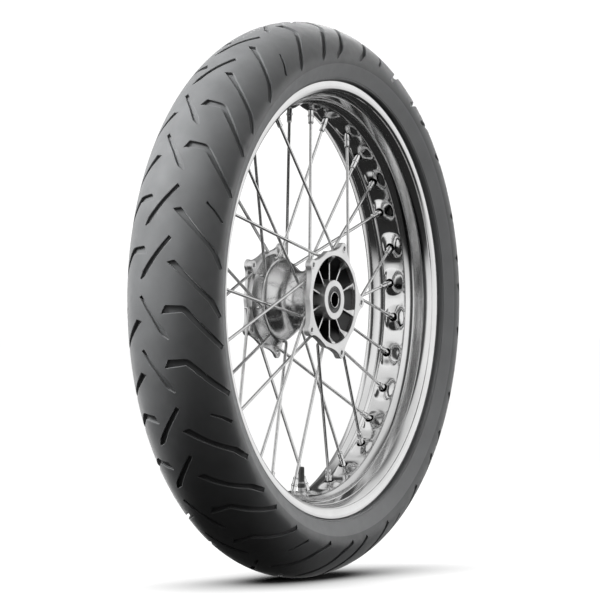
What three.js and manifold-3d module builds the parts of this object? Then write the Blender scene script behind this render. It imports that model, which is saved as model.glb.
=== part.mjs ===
// Front wheel of a motorcycle: a 19-inch wire-spoked wheel with a 120/70 tyre, its hub, bearings,
// inner tube and valve. Millimetres. The origin is the wheel's centre, Y is the spin axis and Z is up.
// The right-hand side of the wheel faces -Y.
import * as THREE from "three";
import { ConvexGeometry } from "three/addons/geometries/ConvexGeometry.js";
import { mergeVertices } from "three/addons/utils/BufferGeometryUtils.js";
import Module from "manifold-3d";

const wasm = await Module();
wasm.setup();

// ---- Driving dimensions ----
const GAP = 0.3; // clearance kept between neighbouring pieces
const BORE_CUT = 0.35; // extra radius of a six- or eight-sided hole round a pin of the same shape
const ROUND = 40; // sides of the tyre and the rim
const HUB_ROUND = 30; // sides of the hub
const SMALL_ROUND = 24; // sides of the bearings and of what sits on the axle

const TYRE_RADIUS = 325.3;
const TREAD_ARC = 64; // radius of the tread's curve across the tyre
const TREAD_EDGE = 58.6; // half-width where the tread curve ends
const CROWN_THICKNESS = 10;
const BEAD_RADIUS = 241.3; // MT 3.00 x 19 rim: bead seat, flange height 14
const FLANGE_RADIUS = 255.3;
const FLANGE_INSIDE = 38.1; // half of the 76.2 mm between the flanges
const RIM_HALF_WIDTH = 47;
const WELL_RADIUS = 230; // hub side of the rim's well
const WELL_FLOOR = 234.2; // tyre side of the rim's well

const SPOKES_PER_FAMILY = 8;
const SPOKE_RADIUS = 1.8;
const NIPPLE_RADIUS = 3.25;
const NIPPLE_LENGTH = 25;
const NIPPLE_HEAD_RADIUS = 4.2;
const NIPPLE_HEAD_LENGTH = 3;
const HEAD_DROP = 2; // from the well's floor down to the middle of a nipple's tilted head
const SPOKE_END_DEPTH = 2.7; // how far the bent end of a spoke goes into the hub
const MOUND_HEIGHT = 10.5; // the mound pressed out of the well round each nipple
const MOUND_DEPTH = 7.5;
const MOUND_TOP_RADIUS = 5.6;
const MOUND_BASE_RADIUS = 9;
const NIPPLE_HOLE_DEPTH = 16; // from the mouth of the hole in the rim to the nipple's head

const BORE_RADIUS = 8.5; // 17 mm axle
const BEARING_RADIUS = 15; // 17 x 30 x 7 bearing
const BEARING_WIDTH = 7;
const BEARING_OUTSIDE = 41.4; // from the wheel's centre plane to the bearing's outer face
const BALL_COUNT = 8;
const BALL_RADIUS = 1.6;
const BALL_PITCH_RADIUS = 11.75;
const RACE_THICKNESS = 1.4;
const CAGE_HALF_WIDTH = 1;
const CAGE_HALF_DEPTH = 0.5;
const SEAL_INSIDE = 9.9;
const SEAL_BACK = 43.2;
const SEAL_FACE = 44.7;
const COLLAR_RADIUS = 9.5;
const COLLAR_FACE = 45.2;
const SPACER_RADIUS = 11;

const BOSS_FACE = 44.9;
const BOSS_MOUTH_RADIUS = 23;
const HUB_BORE = 12.5;
const SEAT_RADIUS = BEARING_RADIUS + 0.4;
const SEAT_END = BEARING_OUTSIDE - BEARING_WIDTH - GAP; // the shoulder that the bearing stops against
const CIRCLIP_GROOVE = { radius: SEAT_RADIUS + 1, inner: 41.4, outer: 43.1 };
const CIRCLIP_WIDTH = 2.6;
const CIRCLIP_THICKNESS = 1;
const CIRCLIP_OPENING = 16; // degrees from the top to each end

const LUG_COUNT = 5;
const LUG_START = -3; // degrees from +X towards +Z
const LUG_CIRCLE = 64; // half of the 128 mm bolt circle
const LUG_END_RADIUS = 7;
const LUG_SHOULDER = 13; // degrees from a lug's middle to where its side starts
const LUG_HOLE_RADIUS = 2.5; // drilled for an M6 thread
const LUG_BOSS_RADIUS = 6.2;
const RING_RADIUS = 58.5;
const RIGHT_RING_BACK = 37.5;
const LEFT_RING_BACK = 41.2;
// Where the boss behind each left lug ends. It is short, or left out, where a spoke passes under it.
const LEFT_BOSS_ENDS = [35, 38.8, 35, 35, LEFT_RING_BACK];
const RIGHT_RECESS = 51;
const LEFT_RECESS = 48;
const RIB_COUNT = 10;
const RIB_START = 18;
const RIB_THICKNESS = 2;
const RIB_FACE = 37.5;
const RIB_INSET = 0.8; // how far a rib runs into the ring
const WEB_REACH = 10; // length of the web that spreads from a rib to the ring
const WEB_NARROW = 1;
const WEB_WIDE = 5.2;
const WEB_FACE = 43.9;
const WEB_BACK = 39.9;

const STRIP_INSIDE = WELL_FLOOR + 0.6;
const STRIP_THICKNESS = 1.2;
const STRIP_HALF_WIDTH = 12;
const TUBE_WALL = 2;
const TUBE_SIDES = 24;
const TUBE_FLOOR = 239.6; // smallest radius of the tube, against the rim strip
const TUBE_MIDDLE = 272; // radius of the widest part of its section
const TUBE_HEIGHT = 37; // from there to the crown
const TUBE_HALF_WIDTH = 35;

const VALVE_ANGLE = -90;
const STEM_RADIUS = 4;
const STEM_TIP_RADIUS = 3.1;
const STEM_BORE = 2.4;
const STEM_FOOT = 249; // radius at which the stem's foot lies inside the tube
const STEM_FOOT_RADIUS = 8;
const STEM_FOOT_THICKNESS = 1.5;
const STEM_THICK_LENGTH = 18.5; // the part of the stem in the rim, before it narrows
const STEM_MOUTH = 201;
const NUT_RADIUS = 6.5;
const NUT_THICKNESS = 4;
const CORE_LENGTH = 14;
const PIN_RADIUS = 0.6;
const PIN_HEAD_RADIUS = 1.8;
const CAP_TIP = 195.5;
const CAP_LENGTH = 24.5;
const CAP_RADIUS = 4.3;
const CUT_PAST = 5; // how far a cutting bar runs past the face it opens

// Each family holds every fourth spoke. `first` is the angle of its first nipple and `turn` the angle
// from there to the spoke's bent end in the hub, which lies at hubRadius and hubY. The nipple's head lies
// at rimY, and the hub's face that the bent end goes into at socketY.
const SPOKE_FAMILIES = [
  { name: "left_outer", first: 5.625, turn: -41, hubRadius: 56, hubY: 38.9, rimY: 2.5, socketY: 41.2 },
  { name: "right_outer", first: 16.875, turn: -41, hubRadius: 55, hubY: -34.5, rimY: 0, socketY: -37.5 },
  { name: "left_inner", first: 28.125, turn: 27.3, hubRadius: 49.5, hubY: 25, rimY: 2.5, socketY: 28.7 },
  { name: "right_inner", first: 39.375, turn: 31, hubRadius: 44, hubY: -22.1, rimY: 0, socketY: -26.1 },
];

// ---- Solids ----

// A closed three.js geometry as a manifold-3d solid, placed by a matrix and facing out.
function solidOf(geometry, matrix = new THREE.Matrix4()) {
  const bare = new THREE.BufferGeometry();
  bare.setAttribute("position", geometry.getAttribute("position").clone());
  bare.setIndex(geometry.index);
  bare.applyMatrix4(matrix);
  const merged = mergeVertices(bare, 1e-4);
  const corners = merged.index.array;
  const triVerts = [];
  for (let i = 0; i < corners.length; i += 3) {
    const [a, b, c] = corners.subarray(i, i + 3);
    if (a !== b && b !== c && c !== a) triVerts.push(a, b, c);
  }
  const vertProperties = merged.getAttribute("position").array;
  const build = (order) =>
    new wasm.Manifold(
      new wasm.Mesh({ numProp: 3, vertProperties, triVerts: new Uint32Array(order) }),
    );
  const made = build(triVerts);
  if (made.volume() > 0) return made;
  for (let i = 0; i < triVerts.length; i += 3) {
    [triVerts[i + 1], triVerts[i + 2]] = [triVerts[i + 2], triVerts[i + 1]];
  }
  return build(triVerts);
}

function geometryOf(solid) {
  const mesh = solid.getMesh();
  const geometry = new THREE.BufferGeometry();
  geometry.setAttribute("position", new THREE.BufferAttribute(mesh.vertProperties, 3));
  geometry.setIndex(new THREE.BufferAttribute(mesh.triVerts, 1));
  geometry.computeVertexNormals();
  return geometry;
}

const radians = (degrees) => THREE.MathUtils.degToRad(degrees);

// The point at an angle from +X towards +Z, at a radius from the spin axis and a height along Y.
function polar(degrees, radius, y) {
  const angle = radians(degrees);
  return new THREE.Vector3(radius * Math.cos(angle), y, radius * Math.sin(angle));
}

// A turned solid about Y. A point is [radius, y].
function turned(points, sides) {
  const profile = points.map(([radius, y]) => new THREE.Vector2(radius, y));
  return new THREE.LatheGeometry(profile, sides);
}

// A turned ring: its closed profile comes back to the first point.
function ring(points, sides) {
  return turned([...points, points[0]], sides);
}

// A plain sleeve between two radii, from y = low to y = high.
function sleeve(inner, outer, low, high, sides) {
  const corners = [
    [inner, low],
    [outer, low],
    [outer, high],
    [inner, high],
  ];
  return ring(corners, sides);
}

// A turned bar along +Y that starts at the origin. A step is [radius, length], and a flare widens the
// last step to its own radius over its own length.
function steppedBar(steps, sides, flare) {
  const points = [[0, 0]];
  let y = 0;
  for (const [radius, length] of steps) {
    points.push([radius, y]);
    y += length;
    points.push([radius, y]);
  }
  if (flare) {
    y += flare[1];
    points.push([flare[0], y]);
  }
  points.push([0, y]);
  return turned(points, sides);
}

// The matrix that takes the origin to `from` and +Y to the way from `from` to `to`.
function aimed(from, to) {
  const way = to.clone().sub(from).normalize();
  const turn = new THREE.Quaternion().setFromUnitVectors(new THREE.Vector3(0, 1, 0), way);
  return new THREE.Matrix4().compose(from, turn, new THREE.Vector3(1, 1, 1));
}

const turnedBy = (degrees) => new THREE.Matrix4().makeRotationY(-radians(degrees));
const mirrorY = (points) => points.map(([radius, y]) => [radius, -y]).reverse();

function everyAngle(count, first, make) {
  for (let i = 0; i < count; i += 1) make(first + (360 / count) * i, i);
}

// ---- Materials ----
const surface = (color, roughness, metalness) =>
  new THREE.MeshStandardMaterial({ color, roughness, metalness });
const rubber = surface(0x2b2c2d, 0.85, 0);
const softRubber = surface(0x1c1c1d, 0.7, 0);
const polished = surface(0xb9bbbd, 0.18, 1);
const satinAlloy = surface(0xc9cbcd, 0.45, 0.9);
const steel = surface(0x9a9c9e, 0.25, 1);
const bearingSteel = surface(0x84868a, 0.2, 1);
const brass = surface(0xb08d4a, 0.35, 1);
const blackPlastic = surface(0x141414, 0.5, 0);

const wheel = new THREE.Group();

function add(name, shape, material) {
  const solid = shape.isBufferGeometry ? solidOf(shape) : shape;
  const mesh = new THREE.Mesh(geometryOf(solid), material);
  mesh.name = name;
  wheel.add(mesh);
}

// ---- Tyre ----

// Half of the tyre's outside from the crown to the bead, as [radius, y]. `sign` is -1 for the right half.
function tyreOutside(sign) {
  const steps = 4;
  const arcCentre = TYRE_RADIUS - TREAD_ARC;
  const points = [];
  for (let i = 0; i <= steps; i += 1) {
    const across = Math.asin(TREAD_EDGE / TREAD_ARC) * (i / steps);
    points.push([arcCentre + TREAD_ARC * Math.cos(across), sign * TREAD_ARC * Math.sin(across)]);
  }
  const sidewall = [
    [279, 59.5],
    [258, 50.8],
    [256.6, 47.8],
    [256.6, 41.5],
    [250, FLANGE_INSIDE - GAP],
    [BEAD_RADIUS + GAP, FLANGE_INSIDE - GAP],
    [BEAD_RADIUS + GAP, 26],
  ];
  return [...points, ...sidewall.map(([radius, y]) => [radius, sign * y])];
}

// The same half's inside, from the bead back to the crown.
function tyreInside(sign) {
  const inner = TREAD_ARC - CROWN_THICKNESS;
  const arcCentre = TYRE_RADIUS - TREAD_ARC;
  const points = [
    [250, 30],
    [263, 42],
  ].map(([radius, y]) => [radius, sign * y]);
  const steps = 2;
  const shoulder = radians(68);
  for (let i = steps; i >= 0; i -= 1) {
    const across = shoulder * (i / steps);
    points.push([arcCentre + inner * Math.cos(across), sign * inner * Math.sin(across)]);
  }
  return points;
}

function tyreSolid() {
  const rightHalf = [...tyreOutside(-1), ...tyreInside(-1)];
  const leftHalf = [...tyreOutside(1), ...tyreInside(1)].reverse();
  return ring([...rightHalf, ...leftHalf.slice(1, -1)], ROUND);
}

add("tyre", tyreSolid(), rubber);

// ---- Spokes and rim ----

function spokeLine(family, index) {
  const nippleAngle = family.first + (360 / SPOKES_PER_FAMILY) * index;
  const bend = polar(nippleAngle + family.turn, family.hubRadius, family.hubY);
  const head = polar(nippleAngle, WELL_FLOOR - HEAD_DROP, family.rimY);
  return { bend, head, length: bend.distanceTo(head) };
}

// A spoke with its bent end and its nipple screwed on.
function spokeSolid(family, index) {
  const { bend, head, length } = spokeLine(family, index);
  const bar = steppedBar(
    [
      [SPOKE_RADIUS, length - NIPPLE_LENGTH],
      [NIPPLE_RADIUS, NIPPLE_LENGTH - NIPPLE_HEAD_LENGTH],
    ],
    6,
    [NIPPLE_HEAD_RADIUS, NIPPLE_HEAD_LENGTH],
  );
  const outward = Math.sign(family.hubY);
  const stubStart = bend.clone();
  stubStart.y -= outward * SPOKE_RADIUS * 0.9;
  const stubEnd = bend.clone();
  stubEnd.y = family.socketY + outward * SPOKE_END_DEPTH;
  const stub = steppedBar([[SPOKE_RADIUS, stubStart.distanceTo(stubEnd)]], 6);
  return solidOf(bar, aimed(bend, head)).add(solidOf(stub, aimed(stubStart, stubEnd)));
}

// The hole in the rim that the nipple drops into, with a wider seat for its head.
function nippleHole(family, index) {
  const { bend, head, length } = spokeLine(family, index);
  const start = bend.clone().lerp(head, 1 - NIPPLE_HOLE_DEPTH / length);
  const flare = (NIPPLE_HEAD_RADIUS - NIPPLE_RADIUS) / NIPPLE_HEAD_LENGTH;
  const seatLength = NIPPLE_HEAD_LENGTH + 3;
  const cut = steppedBar(
    [[NIPPLE_RADIUS + BORE_CUT, NIPPLE_HOLE_DEPTH - NIPPLE_HEAD_LENGTH]],
    6,
    [NIPPLE_RADIUS + BORE_CUT + flare * seatLength, seatLength],
  );
  return solidOf(cut, aimed(start, head));
}

// The mound round a nipple, tilted towards the spoke.
function nippleBoss(family, index) {
  const { bend, head, length } = spokeLine(family, index);
  const start = bend.clone().lerp(head, 1 - MOUND_HEIGHT / length);
  const points = [
    [0, 0],
    [MOUND_TOP_RADIUS, 0],
    [MOUND_BASE_RADIUS, MOUND_DEPTH],
    [0, MOUND_DEPTH],
  ];
  return solidOf(turned(points, 6), aimed(start, head));
}

function everySpoke(make) {
  for (const family of SPOKE_FAMILIES) {
    for (let i = 0; i < SPOKES_PER_FAMILY; i += 1) make(family, i);
  }
}

function rimSolid() {
  const hubSide = [
    [WELL_RADIUS, 14],
    [236, 22],
    [238.4, 35],
    [243.2, 44.2],
    [246.6, 45.9],
    [FLANGE_RADIUS, RIM_HALF_WIDTH],
  ];
  const tyreSide = [
    [254, 40.5],
    [250, FLANGE_INSIDE],
    [BEAD_RADIUS, FLANGE_INSIDE],
    [240.8, 24],
    [WELL_FLOOR, 14],
  ];
  const half = [...hubSide, ...tyreSide];
  let rim = solidOf(ring([...mirrorY(half), ...half], ROUND));
  everySpoke((family, i) => {
    rim = rim.add(nippleBoss(family, i));
  });
  everySpoke((family, i) => {
    rim = rim.subtract(nippleHole(family, i));
  });
  const stemHole = steppedBar([[STEM_RADIUS + BORE_CUT, 30]], 8);
  const inside = polar(VALVE_ANGLE, WELL_RADIUS - 10, 0);
  const outside = polar(VALVE_ANGLE, WELL_RADIUS + 20, 0);
  return rim.subtract(solidOf(stemHole, aimed(inside, outside)));
}

add("rim", rimSolid(), polished);
everySpoke((family, i) => {
  add("spoke_" + family.name + "_" + (i + 1), spokeSolid(family, i), steel);
});

// ---- Rim strip, inner tube and valve ----

// A stepped bar along the valve's axis, from a radius towards the hub.
function valveBar(steps, fromRadius, sides) {
  const start = polar(VALVE_ANGLE, fromRadius, 0);
  return solidOf(steppedBar(steps, sides), aimed(start, new THREE.Vector3(0, 0, 0)));
}

// What the stem passes through the strip and the tube by.
const stemPassage = () => valveBar([[STEM_RADIUS + BORE_CUT, 40]], 260, 8);

function rimStripSolid() {
  const band = sleeve(
    STRIP_INSIDE,
    STRIP_INSIDE + STRIP_THICKNESS,
    -STRIP_HALF_WIDTH,
    STRIP_HALF_WIDTH,
    ROUND,
  );
  return solidOf(band).subtract(stemPassage());
}

// The tube's section: an egg that fills the tyre, drawn with `inset` taken off all round.
function tubeSection(inset) {
  const points = [];
  const sides = 8;
  for (let i = 0; i < sides; i += 1) {
    const angle = (2 * Math.PI * i) / sides;
    const height = (Math.cos(angle) > 0 ? TUBE_HEIGHT : TUBE_MIDDLE - TUBE_FLOOR) - inset;
    const width = TUBE_HALF_WIDTH - inset;
    points.push([TUBE_MIDDLE + height * Math.cos(angle), width * Math.sin(angle)]);
  }
  return points;
}

function innerTubeSolid() {
  const outside = solidOf(ring(tubeSection(0), TUBE_SIDES));
  const inside = solidOf(ring(tubeSection(TUBE_WALL), TUBE_SIDES));
  return outside.subtract(inside).subtract(stemPassage());
}

function valveStemSolid() {
  const tipLength = STEM_FOOT - STEM_MOUTH - STEM_FOOT_THICKNESS - STEM_THICK_LENGTH;
  const stem = valveBar(
    [
      [STEM_FOOT_RADIUS, STEM_FOOT_THICKNESS],
      [STEM_RADIUS, STEM_THICK_LENGTH],
      [STEM_TIP_RADIUS, tipLength],
    ],
    STEM_FOOT,
    8,
  );
  const boreLength = STEM_FOOT - STEM_MOUTH + 2 * CUT_PAST;
  return stem.subtract(valveBar([[STEM_BORE, boreLength]], STEM_FOOT + CUT_PAST, 8));
}

function valveCoreSolid() {
  const inner = STEM_MOUTH + 1 + CORE_LENGTH;
  const body = valveBar([[STEM_BORE - GAP, CORE_LENGTH]], inner, 8);
  const bore = [[PIN_RADIUS + GAP, CORE_LENGTH + 2 * CUT_PAST]];
  return body.subtract(valveBar(bore, inner + CUT_PAST, 6));
}

function valvePinSolid() {
  return valveBar(
    [
      [PIN_HEAD_RADIUS, 1],
      [PIN_RADIUS, CORE_LENGTH + 1],
    ],
    STEM_MOUTH + 2.3 + CORE_LENGTH,
    6,
  );
}

function valveNutSolid() {
  const outer = WELL_RADIUS - 1;
  const nut = valveBar([[NUT_RADIUS, NUT_THICKNESS]], outer, 6);
  const bore = [[STEM_RADIUS + BORE_CUT, NUT_THICKNESS + 2 * CUT_PAST]];
  return nut.subtract(valveBar(bore, outer + CUT_PAST, 8));
}

// The long cap, widest at its mouth.
function valveCapSolid() {
  const points = [
    [0, 0],
    [CAP_RADIUS, 0],
    [CAP_RADIUS, 4],
    [3.7, CAP_LENGTH - 2],
    [2.8, CAP_LENGTH],
    [0, CAP_LENGTH],
  ];
  const mouth = CAP_TIP + CAP_LENGTH;
  const wall = 3; // thickness of the closed end
  const cap = solidOf(turned(points, 8), aimed(polar(VALVE_ANGLE, mouth, 0), new THREE.Vector3(0, 0, 0)));
  const bore = [[STEM_TIP_RADIUS + BORE_CUT, CAP_LENGTH - wall + CUT_PAST]];
  return cap.subtract(valveBar(bore, mouth + CUT_PAST, 8));
}

add("rim_strip", rimStripSolid(), softRubber);
add("inner_tube", innerTubeSolid(), softRubber);
add("valve_stem", valveStemSolid(), brass);
add("valve_nut", valveNutSolid(), steel);
add("valve_core", valveCoreSolid(), brass);
add("valve_pin", valvePinSolid(), brass);
add("valve_cap", valveCapSolid(), blackPlastic);

// ---- Hub ----

// The outline of a disc carrier ring: lugs joined by shallow hollows, holed for the recess and the bolts.
function carrierShape(recessRadius) {
  const at = (degrees, radius) => {
    const angle = radians(degrees);
    return new THREE.Vector2(radius * Math.cos(angle), radius * Math.sin(angle));
  };
  const halfStep = 180 / LUG_COUNT;
  const endArc = radians(75); // half of the arc round a lug's end
  const outline = new THREE.Shape();
  const start = at(LUG_START - halfStep, RING_RADIUS);
  outline.moveTo(start.x, start.y);
  everyAngle(LUG_COUNT, LUG_START, (angle) => {
    const lug = at(angle, LUG_CIRCLE);
    const middle = radians(angle);
    const side = at(angle - LUG_SHOULDER, RING_RADIUS - 1);
    const farSide = at(angle + LUG_SHOULDER, RING_RADIUS - 1);
    const valley = at(angle + halfStep, RING_RADIUS);
    const root = new THREE.Vector2(LUG_END_RADIUS, 0).rotateAround(new THREE.Vector2(), middle - endArc);
    outline.quadraticCurveTo(side.x, side.y, lug.x + root.x, lug.y + root.y);
    outline.absarc(lug.x, lug.y, LUG_END_RADIUS, middle - endArc, middle + endArc, false);
    outline.quadraticCurveTo(farSide.x, farSide.y, valley.x, valley.y);
    const bolt = new THREE.Path();
    bolt.absarc(lug.x, lug.y, LUG_HOLE_RADIUS, 0, 2 * Math.PI, true);
    outline.holes.push(bolt);
  });
  const rim = [];
  everyAngle(HUB_ROUND, 0, (angle) => rim.push(at(-angle, recessRadius)));
  outline.holes.push(new THREE.Path(rim));
  return outline;
}

// A flat outline in the wheel's plane, as a plate that starts at y = from and goes towards -Y.
function plate(shape, thickness, from) {
  const geometry = new THREE.ExtrudeGeometry(shape, {
    depth: thickness,
    bevelEnabled: false,
    curveSegments: 4,
  });
  return solidOf(geometry.rotateX(Math.PI / 2).translate(0, from, 0));
}

// One rib across the recess: a thin wall, and the web that rises from it and spreads to the ring.
// `side` is -1 on the right and 1 on the left.
function ribSolid(degrees, side, ringInside) {
  const edge = ringInside + RIB_INSET;
  const wall = new THREE.Shape([
    new THREE.Vector2(24, RIB_FACE),
    new THREE.Vector2(edge, RIB_FACE),
    new THREE.Vector2(edge, RIB_FACE - 1),
    new THREE.Vector2(31.5, 20.5),
    new THREE.Vector2(25, 20.5),
  ]);
  const upright = new THREE.ExtrudeGeometry(wall, { depth: RIB_THICKNESS, bevelEnabled: false });
  upright.translate(0, 0, -RIB_THICKNESS / 2).scale(1, side, 1);
  const corners = [];
  for (const across of [-1, 1]) {
    for (const y of [RIB_FACE - 2, RIB_FACE]) {
      corners.push(new THREE.Vector3(edge - WEB_REACH, side * y, across * WEB_NARROW));
    }
    for (const y of [WEB_BACK, WEB_FACE]) {
      corners.push(new THREE.Vector3(edge, side * y, across * WEB_WIDE));
    }
  }
  const web = solidOf(new ConvexGeometry(corners));
  return solidOf(upright).add(web).transform(turnedBy(degrees).toArray());
}

// The boss behind a left lug, with its bolt hole left open.
function lugBoss(degrees, end) {
  const boss = sleeve(LUG_HOLE_RADIUS, LUG_BOSS_RADIUS, end, LEFT_RING_BACK + 1, 12);
  const centre = polar(degrees, LUG_CIRCLE, 0);
  return solidOf(boss.translate(centre.x, 0, centre.z));
}

// The bearing seat at one end of the hub, from its mouth inwards. The right seat has a circlip's groove.
function seatProfile(sign) {
  const groove = [
    [SEAT_RADIUS, CIRCLIP_GROOVE.outer],
    [CIRCLIP_GROOVE.radius, CIRCLIP_GROOVE.outer],
    [CIRCLIP_GROOVE.radius, CIRCLIP_GROOVE.inner],
    [SEAT_RADIUS, CIRCLIP_GROOVE.inner],
  ];
  const points = [
    [SEAT_RADIUS, BOSS_FACE],
    ...(sign < 0 ? groove : []),
    [SEAT_RADIUS, SEAT_END],
    [HUB_BORE, SEAT_END],
  ];
  return points.map(([radius, y]) => [radius, sign * y]);
}

// The boss and the recess round it on one side, from the boss's mouth outwards.
function recessProfile(sign, recessRadius, recessEdge) {
  const points = [
    [BOSS_MOUTH_RADIUS, BOSS_FACE],
    [25.5, 21],
    [30, 21],
    [recessRadius, recessEdge],
  ];
  return points.map(([radius, y]) => [radius, sign * y]);
}

function hubSolid() {
  const rightFlange = [
    [RIGHT_RECESS + 3, -40],
    [53, -RIGHT_RING_BACK],
    [38, -18.5],
  ];
  const barrel = [
    [33.8, -4],
    [34, 3],
    [38, 9.5],
    [43.4, 17],
    [46.6, 25],
    [48.6, 27.3],
  ];
  const leftFlange = [
    [53.8, 35],
    [53.8, 36.2],
    [52.4, LEFT_RING_BACK + 1],
    [LEFT_RECESS + 0.6, LEFT_RING_BACK + 1],
  ];
  const body = ring(
    [
      ...recessProfile(-1, RIGHT_RECESS, 39.5),
      ...rightFlange,
      ...barrel,
      ...leftFlange,
      ...recessProfile(1, LEFT_RECESS, 39).reverse(),
      ...seatProfile(1),
      ...seatProfile(-1).reverse(),
    ],
    HUB_ROUND,
  );
  let hub = solidOf(body);
  hub = hub.add(plate(carrierShape(RIGHT_RECESS), BOSS_FACE - RIGHT_RING_BACK, -RIGHT_RING_BACK));
  hub = hub.add(plate(carrierShape(LEFT_RECESS), BOSS_FACE - LEFT_RING_BACK, BOSS_FACE));
  everyAngle(LUG_COUNT, LUG_START, (angle, i) => {
    hub = hub.add(lugBoss(angle, LEFT_BOSS_ENDS[i]));
  });
  everyAngle(RIB_COUNT, RIB_START, (angle) => {
    hub = hub.add(ribSolid(angle, -1, RIGHT_RECESS)).add(ribSolid(angle, 1, LEFT_RECESS));
  });
  everySpoke((family, i) => {
    hub = hub.subtract(spokeSocket(family, i));
  });
  return hub;
}

// The blind hole that a spoke's bent end sits in.
function spokeSocket(family, index) {
  const { bend } = spokeLine(family, index);
  const outward = Math.sign(family.hubY);
  const mouth = bend.clone();
  mouth.y = family.socketY - outward * 3;
  const end = bend.clone();
  end.y = family.socketY + outward * (SPOKE_END_DEPTH + GAP);
  const hole = steppedBar([[SPOKE_RADIUS + BORE_CUT, mouth.distanceTo(end)]], 6);
  return solidOf(hole, aimed(mouth, end));
}

add("hub", hubSolid(), satinAlloy);

// ---- Bearings and what the axle clamps ----

// A ball cage with its balls, in the plane y = middle.
function cageSolid(middle) {
  const low = middle - CAGE_HALF_WIDTH;
  const high = middle + CAGE_HALF_WIDTH;
  const inner = BALL_PITCH_RADIUS - CAGE_HALF_DEPTH;
  const outer = BALL_PITCH_RADIUS + CAGE_HALF_DEPTH;
  let cage = solidOf(sleeve(inner, outer, low, high, 2 * BALL_COUNT));
  everyAngle(BALL_COUNT, 0, (angle) => {
    const ball = new THREE.SphereGeometry(BALL_RADIUS, 6, 3);
    const place = polar(angle, BALL_PITCH_RADIUS, middle);
    cage = cage.add(solidOf(ball.translate(place.x, place.y, place.z)));
  });
  return cage;
}

// A C-shaped snap ring with its gap at the top.
function circlipSolid(from) {
  const opening = radians(CIRCLIP_OPENING);
  const outer = CIRCLIP_GROOVE.radius - BORE_CUT;
  const inner = outer - CIRCLIP_WIDTH;
  const clip = new THREE.Shape();
  const first = Math.PI / 2 + opening;
  const last = Math.PI / 2 - opening + 2 * Math.PI;
  clip.moveTo(outer * Math.cos(first), outer * Math.sin(first));
  clip.absarc(0, 0, outer, first, last, false);
  clip.absarc(0, 0, inner, last, first, true);
  const geometry = new THREE.ExtrudeGeometry(clip, {
    depth: CIRCLIP_THICKNESS,
    bevelEnabled: false,
    curveSegments: 8,
  });
  return solidOf(geometry.rotateX(Math.PI / 2).translate(0, from, 0));
}

for (const [side, sign] of [
  ["right", -1],
  ["left", 1],
]) {
  const span = (near, far) => (sign > 0 ? [near, far] : [-far, -near]);
  const bearing = span(BEARING_OUTSIDE - BEARING_WIDTH, BEARING_OUTSIDE);
  const middle = (bearing[0] + bearing[1]) / 2;
  const piece = (inner, outer, near, far) => sleeve(inner, outer, ...span(near, far), SMALL_ROUND);
  const outerRace = sleeve(BEARING_RADIUS - RACE_THICKNESS, BEARING_RADIUS, ...bearing, SMALL_ROUND);
  const innerRace = sleeve(BORE_RADIUS, BORE_RADIUS + RACE_THICKNESS, ...bearing, SMALL_ROUND);
  add("bearing_outer_race_" + side, outerRace, bearingSteel);
  add("bearing_cage_" + side, cageSolid(middle), bearingSteel);
  add("bearing_inner_race_" + side, innerRace, bearingSteel);
  add("dust_seal_" + side, piece(SEAL_INSIDE, BEARING_RADIUS, SEAL_BACK, SEAL_FACE), softRubber);
  add("side_collar_" + side, piece(BORE_RADIUS, COLLAR_RADIUS, BEARING_OUTSIDE + GAP, COLLAR_FACE), steel);
}

add("bearing_circlip", circlipSolid(-CIRCLIP_GROOVE.inner - BORE_CUT), steel);
add("spacer_tube", sleeve(BORE_RADIUS, SPACER_RADIUS, -SEAT_END, SEAT_END, SMALL_ROUND), steel);

export default wheel;
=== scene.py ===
import math

import bmesh
import bpy
from mathutils import Matrix, Vector
from mathutils.geometry import delaunay_2d_cdt, tessellate_polygon


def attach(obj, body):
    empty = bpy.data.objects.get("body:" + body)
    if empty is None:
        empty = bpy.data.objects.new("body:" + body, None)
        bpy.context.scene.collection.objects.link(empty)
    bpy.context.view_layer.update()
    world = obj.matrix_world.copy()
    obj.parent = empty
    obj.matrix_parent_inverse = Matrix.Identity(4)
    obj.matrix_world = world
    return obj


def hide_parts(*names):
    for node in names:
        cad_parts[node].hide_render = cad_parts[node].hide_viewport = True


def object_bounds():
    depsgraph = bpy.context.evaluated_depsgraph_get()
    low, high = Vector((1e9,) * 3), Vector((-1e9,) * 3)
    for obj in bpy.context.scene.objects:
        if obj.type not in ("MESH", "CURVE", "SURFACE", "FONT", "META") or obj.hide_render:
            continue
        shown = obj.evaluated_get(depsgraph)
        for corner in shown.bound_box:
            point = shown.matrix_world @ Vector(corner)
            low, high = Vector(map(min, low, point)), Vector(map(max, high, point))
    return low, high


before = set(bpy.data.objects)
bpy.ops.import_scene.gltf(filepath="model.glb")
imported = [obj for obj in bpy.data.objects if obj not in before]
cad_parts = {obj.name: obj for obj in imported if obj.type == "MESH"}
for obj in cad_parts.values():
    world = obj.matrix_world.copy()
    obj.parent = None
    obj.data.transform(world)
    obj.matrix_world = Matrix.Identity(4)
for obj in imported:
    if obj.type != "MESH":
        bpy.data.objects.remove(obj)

CAD_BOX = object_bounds()
MM = 0.001
MERGE = 0.004 * MM
PERIOD = 45  # degrees after which the tread and the lacing repeat
REPEATS = 360 // PERIOD
COLUMNS = 24  # columns of the tyre and the rim in one period
BORDER_CLEARANCE = 0.02  # how close to an outline a cut sheet's border point may lie


# ---- Shapes, in millimetres ----

def polar(degrees, radius, y):
    """A point of the wheel: degrees run from +X towards +Z."""
    angle = math.radians(degrees)
    return Vector((radius * math.cos(angle), y, radius * math.sin(angle)))


def turned_by(degrees):
    return Matrix.Rotation(-math.radians(degrees), 3, "Y")


def repeated(part, count, step, start=0):
    """The part's copies, each turned on by `step` degrees."""
    vertices, faces, look = part
    copies = []
    for i in range(count):
        turn = turned_by(start + step * i)
        copies.append(([turn @ v for v in vertices], faces, look))
    return copies


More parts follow.
